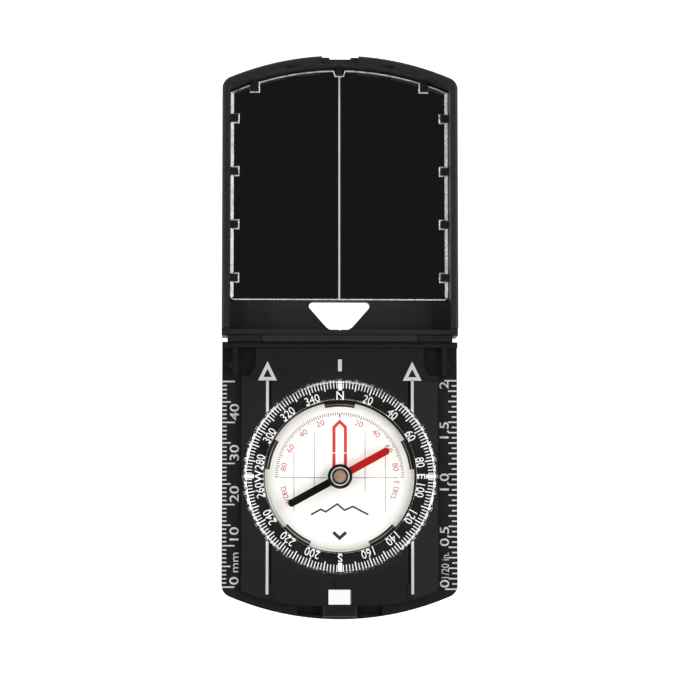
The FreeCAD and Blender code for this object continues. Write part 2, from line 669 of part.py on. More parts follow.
def make_needle():
    """The needle with its hub, bright ring, brass cup and jewel, turned so the red end points to the bearing."""
    bar = new_part("needle_bar", DIAL_CENTRE)
    outline = new_sketch(bar, offset="needle_underside")
    half = "needle_width / 2"
    polygon(outline, [("red_length", "0"), (f"red_length - {half}", half), (f"{half} - black_length", half),
                      ("0.4 - black_length", "0.45"), ("0.4 - black_length", "0 - 0.45"),
                      (f"{half} - black_length", f"0 - {half}"), (f"red_length - {half}", f"0 - {half}")])
    pad(bar, outline, "needle_thickness")
    eye = new_sketch(bar, offset="needle_underside")
    circle(eye, "hub_radius - 0.5")
    pad(bar, eye, "needle_thickness")
    centre = new_sketch(bar)
    circle(centre, "cup_radius")
    pocket(bar, centre, "axis_height + 1")

    blade_top = "needle_underside + needle_thickness"
    hub = new_part("needle_hub", DIAL_CENTRE)
    revolve(hub, [("cup_radius", blade_top), ("hub_radius", blade_top), ("hub_radius", "hub_top - 0.35"),
                  ("hub_radius - 0.3", "hub_top - 0.05"), ("hub_radius - 0.65", "hub_top"),
                  ("collar_outer", "hub_top"), ("collar_outer", "hub_top - 0.2"),
                  ("collar_inner", "hub_top - 0.2"), ("collar_inner", "hub_top - 0.1"),
                  ("cup_radius", "hub_top - 0.3")])
    collar = new_part("hub_collar", DIAL_CENTRE)
    revolve(collar, [("collar_inner", "hub_top - 0.2"), ("collar_outer", "hub_top - 0.2"),
                     ("collar_outer", "hub_top + 0.02"), ("collar_inner", "hub_top + 0.02")])
    cup = new_part("jewel_cup", DIAL_CENTRE)
    revolve(cup, [("jewel_radius", "needle_underside"), ("cup_radius", "needle_underside"),
                  ("cup_radius", "hub_top - 0.3"), ("1.2", "hub_top - 0.05"), ("0", "hub_top - 0.05"),
                  ("0", "needle_underside + 0.85"), ("jewel_radius", "needle_underside + 0.85")])
    jewel = new_part("pivot_jewel", DIAL_CENTRE)
    revolve(jewel, [("jewel_radius", "needle_underside + 0.15"), ("jewel_radius", "needle_underside + 0.85"),
                    ("0", "needle_underside + 0.85"), ("0", "post_tip + 0.04"), ("0.14", "post_tip + 0.02"),
                    ("0.6", "needle_underside + 0.15")])
    for piece in (bar, hub, collar, cup, jewel):
        piece.setExpression("Placement.Rotation.Angle", cell("( 90 - needle_bearing ) * 1 deg"))


make_base_tray()
make_deck_plate()
make_mirror_cover()
make_mirror()
make_hinge_pins()
make_dial_rings()
make_capsule()
make_needle()

doc.recompute()
for item in doc.Objects:
    if "Invalid" in item.State or "Error" in item.State:
        raise RuntimeError(f"{item.Label} failed to recompute")
os.makedirs("parts", exist_ok=True)
for part in parts:
    if part.Shape.isNull() or not part.Shape.isValid():
        raise RuntimeError(f"{part.Label} has no valid shape")
    part.Shape.exportStep(os.path.join("parts", f"{part.Label}.step"))
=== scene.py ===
"""Looks of a folding mirror compass: finishes, printed scales, mirror plate and grip ring over the frame.

Everything is in the frame's own axes: +X across the compass, +Y from the base towards the arched end of the
mirror cover, +Z up. Sizes are written in millimetres and turned to metres by mm().
"""
import functools
import json
import logging
import math
from dataclasses import dataclass, field
from enum import Enum
from typing import Sequence

import bmesh
import bpy
from mathutils import Matrix, Vector


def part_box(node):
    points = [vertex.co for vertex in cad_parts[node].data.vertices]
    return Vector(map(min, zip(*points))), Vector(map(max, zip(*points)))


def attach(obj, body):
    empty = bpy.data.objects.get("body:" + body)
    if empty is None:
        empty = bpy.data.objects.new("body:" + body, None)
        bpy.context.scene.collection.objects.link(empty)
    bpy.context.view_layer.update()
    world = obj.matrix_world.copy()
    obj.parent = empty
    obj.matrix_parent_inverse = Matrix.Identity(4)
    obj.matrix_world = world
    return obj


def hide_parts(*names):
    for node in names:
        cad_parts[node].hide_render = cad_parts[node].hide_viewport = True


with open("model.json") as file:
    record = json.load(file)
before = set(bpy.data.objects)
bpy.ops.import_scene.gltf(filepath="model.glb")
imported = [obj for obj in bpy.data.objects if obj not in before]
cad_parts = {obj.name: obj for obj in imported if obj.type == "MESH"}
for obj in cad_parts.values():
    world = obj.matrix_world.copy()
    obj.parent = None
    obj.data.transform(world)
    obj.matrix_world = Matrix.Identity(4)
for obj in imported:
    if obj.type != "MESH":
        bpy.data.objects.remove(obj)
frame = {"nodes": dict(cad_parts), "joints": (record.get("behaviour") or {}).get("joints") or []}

LOG = logging.getLogger("mirror_compass")
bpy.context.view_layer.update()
PRINT_RISE = 0.03
PRINT_SINK = 0.01
MERGE_DISTANCE = 1e-8
INCH = 25.4
SIDE_MARGIN = 0.05
LINE_GAP = 0.1
NOISE_RANGE = (0.3, 0.7)
MARK_RANGE = (0.62, 0.74)
EVEN = (1.0, 1.0, 1.0)
ALONG_Y = (1.0, 0.08, 1.0)

Point = tuple[float, float]
Colour = tuple[float, float, float]


def mm(value: float) -> float:
    """Turns millimetres into metres."""
    return value / 1000.0


def joint_place(name: str) -> Vector:
    """Where a joint of the frame sits.

    Args:
        name: The joint's name.

    Returns:
        The joint's place in metres.
    """
    joint = next(joint for joint in frame["joints"] if joint["name"] == name)
    return Vector(joint["pos_m"])


# --- Finishes -------------------------------------------------------------------------------------


class NodeBoard:
    """A node tree being laid out, with short calls to add and join its nodes."""

    def __init__(self, tree: bpy.types.NodeTree) -> None:
        """Takes over a node tree and empties it."""
        self.tree = tree
        self.tree.nodes.clear()

    def add(self, kind: str, **settings: object) -> bpy.types.Node:
        """Adds a node.

        Args:
            kind: The node's type without its ShaderNode prefix.
            **settings: Attributes to set on it.

        Returns:
            The new node.
        """
        prefix = "" if kind.startswith("Node") else "ShaderNode"
        node = self.tree.nodes.new(prefix + kind)
        for name, value in settings.items():
            setattr(node, name, value)
        return node

    def join(self, source: bpy.types.NodeSocket, target: bpy.types.NodeSocket) -> None:
        """Links one socket to another."""
        self.tree.links.new(source, target)

    def spread(self, value: bpy.types.NodeSocket, low: float = 0.0, high: float = 1.0,
               reach: tuple[float, float] = NOISE_RANGE) -> bpy.types.NodeSocket:
        """Maps a part of a noise value's range onto low to high.

        Args:
            value: The noise value.
            low: What the part's low end becomes.
            high: What the part's high end becomes.
            reach: The part's two ends.

        Returns:
            The mapped value.
        """
        node = self.add("MapRange")
        settings = {"From Min": reach[0], "From Max": reach[1], "To Min": low, "To Max": high}
        for name, setting in settings.items():
            node.inputs[name].default_value = setting
        self.join(value, node.inputs["Value"])
        return node.outputs["Result"]

    def blend(self, mask: bpy.types.NodeSocket, first: Colour | bpy.types.NodeSocket,
              second: Colour) -> bpy.types.NodeSocket:
        """Blends two colours by a mask.

        Args:
            mask: 0 shows the first colour and 1 the second.
            first: The first colour, or a socket that gives it.
            second: The second colour.

        Returns:
            The blended colour.
        """
        node = self.add("Mix", data_type="RGBA")
        under, over = [socket for socket in node.inputs if socket.type == "RGBA"]
        over.default_value = (*second, 1.0)
        if isinstance(first, bpy.types.NodeSocket):
            self.join(first, under)
        else:
            under.default_value = (*first, 1.0)
        self.join(mask, node.inputs["Factor"])
        return next(socket for socket in node.outputs if socket.type == "RGBA")


@functools.cache
def surface_group() -> bpy.types.NodeTree:
    """The effect every finish shares: a fine grain, a soft unevenness and sparse handling marks.

    Returns:
        A node group with a Grain Size and a Mark Size input and three value outputs.
    """
    tree = bpy.data.node_groups.new("fine_surface", "ShaderNodeTree")
    for name, default in (("Grain Size", 0.2), ("Mark Size", 6.0)):
        socket = tree.interface.new_socket(name, in_out="INPUT", socket_type="NodeSocketFloat")
        socket.default_value = default
    for name in ("Grain", "Unevenness", "Marks"):
        tree.interface.new_socket(name, in_out="OUTPUT", socket_type="NodeSocketFloat")
    board = NodeBoard(tree)
    inlet = board.add("NodeGroupInput")
    outlet = board.add("NodeGroupOutput")
    place = board.add("TexCoord").outputs["Object"]

    def scaled_noise(size: bpy.types.NodeSocket, detail: float, stretch: Colour) -> bpy.types.NodeSocket:
        """Adds a noise texture.

        Args:
            size: The size of its patches in millimetres.
            detail: How many finer layers it has.
            stretch: How fast it changes along each axis.

        Returns:
            The noise value.
        """
        rate = board.add("Math", operation="DIVIDE")
        rate.inputs[0].default_value = 1000.0
        board.join(size, rate.inputs[1])
        mapping = board.add("Mapping")
        mapping.inputs["Scale"].default_value = stretch
        board.join(place, mapping.inputs["Vector"])
        texture = board.add("TexNoise")
        texture.inputs["Detail"].default_value = detail
        board.join(mapping.outputs["Vector"], texture.inputs["Vector"])
        board.join(rate.outputs["Value"], texture.inputs["Scale"])
        return texture.outputs["Fac"]

    board.join(scaled_noise(inlet.outputs["Grain Size"], 4.0, EVEN), outlet.inputs["Grain"])
    board.join(scaled_noise(inlet.outputs["Mark Size"], 5.0, EVEN), outlet.inputs["Unevenness"])
    hair = scaled_noise(inlet.outputs["Mark Size"], 8.0, ALONG_Y)
    board.join(board.spread(hair, reach=MARK_RANGE), outlet.inputs["Marks"])
    return tree


@dataclass(frozen=True)
class Finish:
    """A surface finish with colour variation, uneven gloss and a fine relief.

    Attributes:
        name: The material's name.
        colour: The main colour.
        second: The colour that the unevenness drifts to.
        gloss: Lowest and highest roughness.
        metallic: 1 for bare metal, 0 for everything else.
        grain: Size of the grain in millimetres.
        relief: Depth of the grain in millimetres.
        specular: Strength of the surface reflection.
        coat: Weight of a clear coat.
        patch: Size of the uneven patches in millimetres.
        glow: Strength of its own white light.
    """

    name: str
    colour: Colour
    second: Colour
    gloss: Point = (0.4, 0.5)
    metallic: float = 0.0
    grain: float = 0.2
    relief: float = 0.004
    specular: float = 0.5
    coat: float = 0.0
    patch: float = 6.0
    glow: float = 0.0

    @functools.cache
    def build(self) -> bpy.types.Material:
        """Makes the material once.

        Returns:
            The finished material.
        """
        material = bpy.data.materials.new(self.name)
        material.use_nodes = True
        board = NodeBoard(material.node_tree)
        shader = board.add("BsdfPrincipled")
        output = board.add("OutputMaterial")
        surface = board.add("Group", node_tree=surface_group())
        surface.inputs["Grain Size"].default_value = self.grain
        surface.inputs["Mark Size"].default_value = self.patch
        shader.inputs["Emission Color"].default_value = (1.0, 1.0, 1.0, 1.0)
        shader.inputs["Emission Strength"].default_value = self.glow
        shader.inputs["Metallic"].default_value = self.metallic
        shader.inputs["Specular IOR Level"].default_value = self.specular
        shader.inputs["Coat Weight"].default_value = self.coat
        board.join(self.tint(board, surface), shader.inputs["Base Color"])
        board.join(board.spread(surface.outputs["Unevenness"], *self.gloss), shader.inputs["Roughness"])
        bump = board.add("Bump")
        bump.inputs["Distance"].default_value = mm(self.relief)
        bump.inputs["Strength"].default_value = 1.0
        board.join(surface.outputs["Grain"], bump.inputs["Height"])
        board.join(bump.outputs["Normal"], shader.inputs["Normal"])
        board.join(shader.outputs["BSDF"], output.inputs["Surface"])
        return material

    def tint(self, board: NodeBoard, surface: bpy.types.Node) -> bpy.types.NodeSocket:
        """The colour over the surface."""
        return board.blend(board.spread(surface.outputs["Unevenness"]), self.colour, self.second)


@dataclass(frozen=True)
class MouldedPlastic(Finish):
    """Spark-textured moulded plastic, a little paler where it has been handled.

    Attributes:
        rubbed: The colour of the handled places.
    """

    rubbed: Colour = (0.04, 0.04, 0.041)

    def tint(self, board: NodeBoard, surface: bpy.types.Node) -> bpy.types.NodeSocket:
        """The body colour with faint rubbed marks over it."""
        return board.blend(surface.outputs["Marks"], super().tint(board, surface), self.rubbed)


@dataclass(frozen=True)
class Ink(Finish):
    """Printing ink: a thin, nearly flat film."""

    gloss: Point = (0.4, 0.55)
    grain: float = 0.08
    relief: float = 0.001


@dataclass(frozen=True)
class NeedlePaint(Finish):
    """Two paints on one bar, parted across the middle of the needle.

    Attributes:
        red: The north end's colour.
        centre: The needle's centre.
        bearing: The north end's direction, in degrees clockwise from +Y.
    """

    red: Colour = (0.36, 0.008, 0.007)
    centre: Point = (0.0, 0.0)
    bearing: float = 0.0

    def tint(self, board: NodeBoard, surface: bpy.types.Node) -> bpy.types.NodeSocket:
        """Red on the side that the north end points to, black on the other.

        Args:
            board: The material's node tree.
            surface: The surface group in it.

        Returns:
            The colour.
        """
        place = board.add("TexCoord").outputs["Object"]
        offset = board.add("VectorMath", operation="SUBTRACT")
        offset.inputs[1].default_value = (*self.centre, 0.0)
        board.join(place, offset.inputs[0])
        angle = math.radians(self.bearing)
        along = board.add("VectorMath", operation="DOT_PRODUCT")
        along.inputs[1].default_value = (math.sin(angle), math.cos(angle), 0.0)
        board.join(offset.outputs["Vector"], along.inputs[0])
        north = board.add("Math", operation="GREATER_THAN")
        north.inputs[1].default_value = 0.0
        board.join(along.outputs["Value"], north.inputs[0])
        return board.blend(north.outputs["Value"], self.colour, self.red)


@dataclass(frozen=True)
class ClearPlastic:
    """Clear polished acrylic that lets the studio light through to what is under it.

    Attributes:
        name: The material's name.
        tint: The colour of the plastic.
        roughness: Its roughness.
        ripple: Depth of its moulding ripple in millimetres.
        bending: Its index of refraction. A dome full of liquid bends light less than a bare one.
    """

    name: str
    tint: Colour = (0.98, 0.99, 1.0)
    roughness: float = 0.04
    ripple: float = 0.002
    bending: float = 1.49

    @functools.cache
    def build(self) -> bpy.types.Material:
        """Makes the material once.

        Returns:
            The finished material.
        """
        material = bpy.data.materials.new(self.name)
        material.use_nodes = True
        board = NodeBoard(material.node_tree)
        shader = board.add("BsdfPrincipled")
        shader.inputs["Base Color"].default_value = (*self.tint, 1.0)
        shader.inputs["Roughness"].default_value = self.roughness
        shader.inputs["IOR"].default_value = self.bending
        shader.inputs["Transmission Weight"].default_value = 1.0
        surface = board.add("Group", node_tree=surface_group())
        surface.inputs["Grain Size"].default_value = 1.5
        bump = board.add("Bump")
        bump.inputs["Distance"].default_value = mm(self.ripple)
        board.join(surface.outputs["Grain"], bump.inputs["Height"])
        board.join(bump.outputs["Normal"], shader.inputs["Normal"])
        open_air = board.add("BsdfTransparent")
        light_path = board.add("LightPath")
        choice = board.add("MixShader")
        board.join(light_path.outputs["Is Shadow Ray"], choice.inputs["Fac"])
        board.join(shader.outputs["BSDF"], choice.inputs[1])
        board.join(open_air.outputs["BSDF"], choice.inputs[2])
        board.join(choice.outputs["Shader"], board.add("OutputMaterial").inputs["Surface"])
        return material


COVER_BLACK = MouldedPlastic("cover_black", (0.0245, 0.0245, 0.0245), (0.0265, 0.0265, 0.0265),
                             (0.42, 0.47), relief=0.006, specular=0.4, patch=2.5,
                             rubbed=(0.029, 0.029, 0.029))
BASE_BLACK = MouldedPlastic("base_black", (0.0125, 0.0125, 0.0125), (0.014, 0.014, 0.014), (0.4, 0.46),
                            relief=0.015, specular=0.35, patch=2.5, rubbed=(0.017, 0.017, 0.017))
SMOOTH_BLACK = Finish("smooth_black", (0.008, 0.008, 0.008), (0.012, 0.012, 0.012), (0.3, 0.42),
                      relief=0.001)
HUB_BLACK = Finish("gloss_black", (0.006, 0.006, 0.006), (0.009, 0.009, 0.009), (0.15, 0.25), relief=0.0005)
RING_BLACK = Finish("ring_black", (0.005, 0.005, 0.005), (0.007, 0.007, 0.007), (0.4, 0.5),
                    relief=0.001, specular=0.2)
RUBBER = Finish("seal_rubber", (0.012, 0.012, 0.012), (0.02, 0.02, 0.02), (0.7, 0.85), relief=0.003)
CARD = Finish("cream_card", (0.92, 0.9, 0.855), (0.94, 0.925, 0.875), (0.45, 0.6), grain=0.1, relief=0.001)
STEEL = Finish("ground_steel", (0.6, 0.6, 0.61), (0.68, 0.68, 0.69), (0.22, 0.36), 1.0, 0.1, 0.002)
BRIGHT = Finish("bright_ring", (0.5, 0.5, 0.51), (0.75, 0.75, 0.76), (0.3, 0.4), 0.5, 0.1, 0.001, patch=1.2)
COPPER = Finish("turned_copper", (0.3, 0.2, 0.12), (0.42, 0.29, 0.18), (0.34, 0.46), 0.35, 0.12, 0.003,
                patch=1.0)
JEWEL = Finish("pivot_jewel", (0.5, 0.05, 0.09), (0.6, 0.08, 0.12), (0.05, 0.12), relief=0.0005)
MIRROR = Finish("mirror_silver", (0.9, 0.91, 0.92), (0.92, 0.93, 0.94), (0.0, 0.02), 1.0, 3.0, 0.00001)
MIRROR_EDGE = Finish("mirror_edge", (0.3, 0.3, 0.3), (0.85, 0.85, 0.85), (0.2, 0.35), 0.7, 0.15, 0.004,
                     patch=1.6)
WHITE_INK = Ink("white_ink", (0.9, 0.9, 0.89), (0.95, 0.95, 0.94), (0.35, 0.5))
BLACK_INK = Ink("black_ink", (0.012, 0.011, 0.01), (0.02, 0.018, 0.017))
RED_INK = Ink("red_ink", (0.55, 0.02, 0.018), (0.62, 0.03, 0.027))
ROSE_INK = Ink("rose_ink", (0.4, 0.035, 0.05), (0.46, 0.06, 0.075))
GREY_INK = Ink("rose_grey_ink", (0.24, 0.15, 0.16), (0.32, 0.22, 0.23))
PALE_INK = Ink("pale_grey_ink", (0.62, 0.6, 0.58), (0.7, 0.68, 0.66))
BROWN_INK = Ink("brown_ink", (0.28, 0.14, 0.1), (0.34, 0.19, 0.14))
CLEAR = ClearPlastic("clear_acrylic", roughness=0.01, ripple=0.0001)
EDGE_CLEAR = ClearPlastic("satin_acrylic", roughness=0.15, ripple=0.0001, bending=2.4)
DOME_CLEAR = ClearPlastic("dome_acrylic", (1.0, 1.0, 1.0), 0.0, 0.0001, 1.01)
PIN_STEEL = Finish("blackened_steel", (0.02, 0.02, 0.021), (0.035, 0.035, 0.036), (0.4, 0.55), 0.6, 0.1,
                   0.002)
PALE_FLOOR = Finish("pale_floor", (0.9, 0.9, 0.9), (0.92, 0.92, 0.92), (0.8, 0.9), specular=0.1, glow=0.95)


def dress(node: str, finish: Finish | ClearPlastic) -> None:
    """Gives a CAD node its finish.

    Args:
        node: The node's name.
        finish: The finish for all of it.
    """
    mesh = frame["nodes"][node].data
    mesh.materials.clear()
    mesh.materials.append(finish.build())
    LOG.info("%s: %s", node, finish.name)


# --- Mesh work ------------------------------------------------------------------------------------


class Side(Enum):
    """Which side of the compass a mirrored detail is on."""

    LEFT = -1
    RIGHT = 1


@dataclass
class Lettering:
    """A size of lettering, in millimetres.

    Attributes:
        height: Height of a digit.
        advance: From one digit to the next.
        weight: How much its strokes are thickened.
    """

    height: float
    advance: float
    weight: float = 0.0

    def outline(self, words: str, thickness: float) -> bpy.types.Mesh:
        """Makes the words as a flat solid, their baseline on X and their left end at the origin.

        Args:
            words: What to write.
            thickness: Thickness in metres.

        Returns:
            A mesh in metres.
        """
        tall = self.extent("0")[1]
        pitch = self.extent("00")[0] - self.extent("0")[0]
        across, up = mm(self.advance) / pitch, mm(self.height) / tall
        mesh = self.raw(words, self.weight / self.height)
        mesh.transform(Matrix.Diagonal((across, up, thickness, 1.0)))
        return mesh

    def extent(self, words: str) -> Point:
        """Measures words at font size 1.

        Args:
            words: What to measure.

        Returns:
            Their width and height.
        """
        mesh = self.raw(words, 0.0)
        wide = [vertex.co.x for vertex in mesh.vertices]
        high = [vertex.co.y for vertex in mesh.vertices]
        bpy.data.meshes.remove(mesh)
        return max(wide) - min(wide), max(high) - min(high)

    @staticmethod
    def raw(words: str, weight: float) -> bpy.types.Mesh:
        """Makes words at font size 1 as a solid one unit thick.

        Args:
            words: What to write.
            weight: How far each outline grows.

        Returns:
            A mesh in font units.
        """
        curve = bpy.data.curves.new("words", "FONT")
        curve.body = words
        curve.extrude = 0.5
        curve.offset = weight
        curve.resolution_u = 4
        holder = bpy.data.objects.new("words", curve)
        bpy.context.scene.collection.objects.link(holder)
        bpy.context.view_layer.update()
        ready = holder.evaluated_get(bpy.context.evaluated_depsgraph_get())
        mesh = bpy.data.meshes.new_from_object(ready)
        bpy.data.objects.remove(holder)
        bpy.data.curves.remove(curve)
        return mesh


class Sheetwork:
    """A mesh that grows by flat prints and turned rings, all in metres."""

    def __init__(self, name: str) -> None:
        """Starts an empty mesh of that name."""
        self.name = name
        self.mesh = bmesh.new()

    def plate(self, corners: Sequence[Point], low: float, high: float, place: Matrix | None = None) -> list:
        """Adds a flat plate.

        Args:
            corners: Its outline in millimetres, counterclockwise.
            low: Height of its underside in millimetres.
            high: Height of its top in millimetres.
            place: Where it goes.

        Returns:
            The vertices added.
        """
        floor = [self.mesh.verts.new((mm(x), mm(y), mm(low))) for x, y in corners]
        face = self.mesh.faces.new(floor)
        grown = bmesh.ops.extrude_face_region(self.mesh, geom=[face])["geom"]
        roof = [item for item in grown if isinstance(item, bmesh.types.BMVert)]
        bmesh.ops.translate(self.mesh, verts=roof, vec=(0.0, 0.0, mm(high - low)))
        if place is not None:
            bmesh.ops.transform(self.mesh, matrix=place, verts=floor + roof)
        return floor + roof

    def bar(self, start: Point, end: Point, width: float, level: float,
            place: Matrix | None = None) -> None:
        """Adds a printed stroke with square ends.

        Args:
            start: Where it starts, in millimetres.
            end: Where it ends, in millimetres.
            width: Its width in millimetres.
            level: Height of the surface under it in millimetres.
            place: Where it goes.
        """
        along = Vector((end[0] - start[0], end[1] - start[1]))
        side = Vector((-along.y, along.x)).normalized() * width / 2
        first, last = Vector(start), Vector(end)
        corners = [tuple(first - side), tuple(last - side), tuple(last + side), tuple(first + side)]
        self.plate(corners, level - PRINT_SINK, level + PRINT_RISE, place)

    def stroke(self, points: Sequence[Point], width: float, level: float,
               place: Matrix | None = None) -> None:
        """Adds a printed line with mitred corners and square ends.

        Args:
            points: Its corners in millimetres.
            width: Its width in millimetres.
            level: Height of the surface under it in millimetres.
            place: Where it goes.
        """
        left, right = [], []
        for index, point in enumerate(points):
            here = Vector(point)
            before = Vector(points[max(index - 1, 0)])
            after = Vector(points[min(index + 1, len(points) - 1)])
            first = (here - before).normalized() if index else (after - here).normalized()
            second = (after - here).normalized() if index < len(points) - 1 else first
            first_side, second_side = Vector((-first.y, first.x)), Vector((-second.y, second.x))
            mitre = (first_side + second_side).normalized()
            reach = width / 2 / mitre.dot(first_side)
            left.append(tuple(here + mitre * reach))
            right.append(tuple(here - mitre * reach))
        self.plate(right + left[::-1], level - PRINT_SINK, level + PRINT_RISE, place)

    def arc(self, centre: Vector, inner: float, outer: float, level: float,
            start: float = 0.0, sweep: float = 360.0) -> None:
        """Adds a printed ring or arc.

        Args:
            centre: Its centre in metres.
            inner: Inner radius in millimetres.
            outer: Outer radius in millimetres.
            level: Height of the surface in millimetres.
            start: Bearing of its first end in degrees clockwise from +Y.
            sweep: How far it runs clockwise, in degrees.
        """
        low, high = mm(level - PRINT_SINK), mm(level + PRINT_RISE)
        turn = Matrix.Rotation(-math.radians(start), 4, "Z")
        around = Vector((centre.x, centre.y, 0.0))
        section = [(inner, low), (outer, low), (outer, high), (inner, high)]
        verts = [self.mesh.verts.new(around + turn @ Vector((0.0, mm(radius), z))) for radius, z in section]
        whole = sweep >= 360.0
        steps = max(6, round(sweep / 3.0))
        if whole:
            edges = [self.mesh.edges.new((verts[index], verts[(index + 1) % 4])) for index in range(4)]
            geometry = verts + edges
        else:
            geometry = [*verts, self.mesh.faces.new(verts)]
        bmesh.ops.spin(self.mesh, geom=geometry, cent=around, axis=(0.0, 0.0, -1.0), dvec=(0.0, 0.0, 0.0),
                       angle=math.radians(sweep), steps=steps, use_merge=whole)

    def words(self, text: str, letters: Lettering, place: Matrix, centred: bool = True) -> None:
        """Adds lettering.

        Args:
            text: What it says.
            letters: Its size.
            place: Where it goes, reading along +X.
            centred: Whether its middle is at the place's origin, or its left end on the baseline.
        """
        thickness = mm(PRINT_RISE + PRINT_SINK)
        mesh = letters.outline(text, thickness)
        if centred:
            across = [vertex.co.x for vertex in mesh.vertices]
            middle = Vector((-(max(across) + min(across)) / 2, -mm(letters.height) / 2, 0.0))
            mesh.transform(Matrix.Translation(middle))
        lift = Matrix.Translation((0.0, 0.0, mm(PRINT_RISE - PRINT_SINK) / 2))
        mesh.transform(place @ lift)
        self.mesh.from_mesh(mesh)
        bpy.data.meshes.remove(mesh)

    def finish(self, body: str, slot: str, *finishes: Finish | ClearPlastic,
               smooth: float = 0.0) -> bpy.types.Object:
        """Closes the mesh and makes it a piece that rides a body.

        Args:
            body: The body that it moves with.
            slot: Not used.
            *finishes: Its finishes, in the order of its faces' material numbers.
            smooth: Edges flatter than this many degrees are shaded smooth.

        Returns:
            The new piece.
        """
        bmesh.ops.remove_doubles(self.mesh, verts=self.mesh.verts, dist=MERGE_DISTANCE)
        bmesh.ops.recalc_face_normals(self.mesh, faces=self.mesh.faces)
        if smooth:
            limit = math.radians(smooth)
            for face in self.mesh.faces:
                face.smooth = True
            for edge in self.mesh.edges:
                edge.smooth = len(edge.link_faces) == 2 and edge.calc_face_angle(0.0) < limit
        data = bpy.data.meshes.new(self.name)
        self.mesh.to_mesh(data)
        self.mesh.free()
        for finish in finishes:
            data.materials.append(finish.build())
        piece = bpy.data.objects.new(self.name, data)
        bpy.context.scene.collection.objects.link(piece)
        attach(piece, body)
        LOG.info("%s: %d faces on %s", self.name, len(data.polygons), body)
        return piece


def from_line(origin: Vector, level: float = 0.0) -> Matrix:
    """A place whose origin lies at a point of the frame seen from above, at a level in millimetres."""
    return Matrix.Translation((origin.x, origin.y, mm(level)))


def at_bearing(centre: Vector, bearing: float, radius: float, level: float) -> Matrix:
    """A place on a dial, its +Y pointing outwards.

    Args:
        centre: The dial's centre.
        bearing: Degrees clockwise from +Y.
        radius: Distance from the centre in millimetres.
        level: Height in millimetres.

    Returns:
        The place in metres.
    """
    turn = Matrix.Rotation(-math.radians(bearing), 4, "Z")
    return from_line(centre, level) @ turn @ Matrix.Translation((0.0, mm(radius), 0.0))


# --- The base -------------------------------------------------------------------------------------


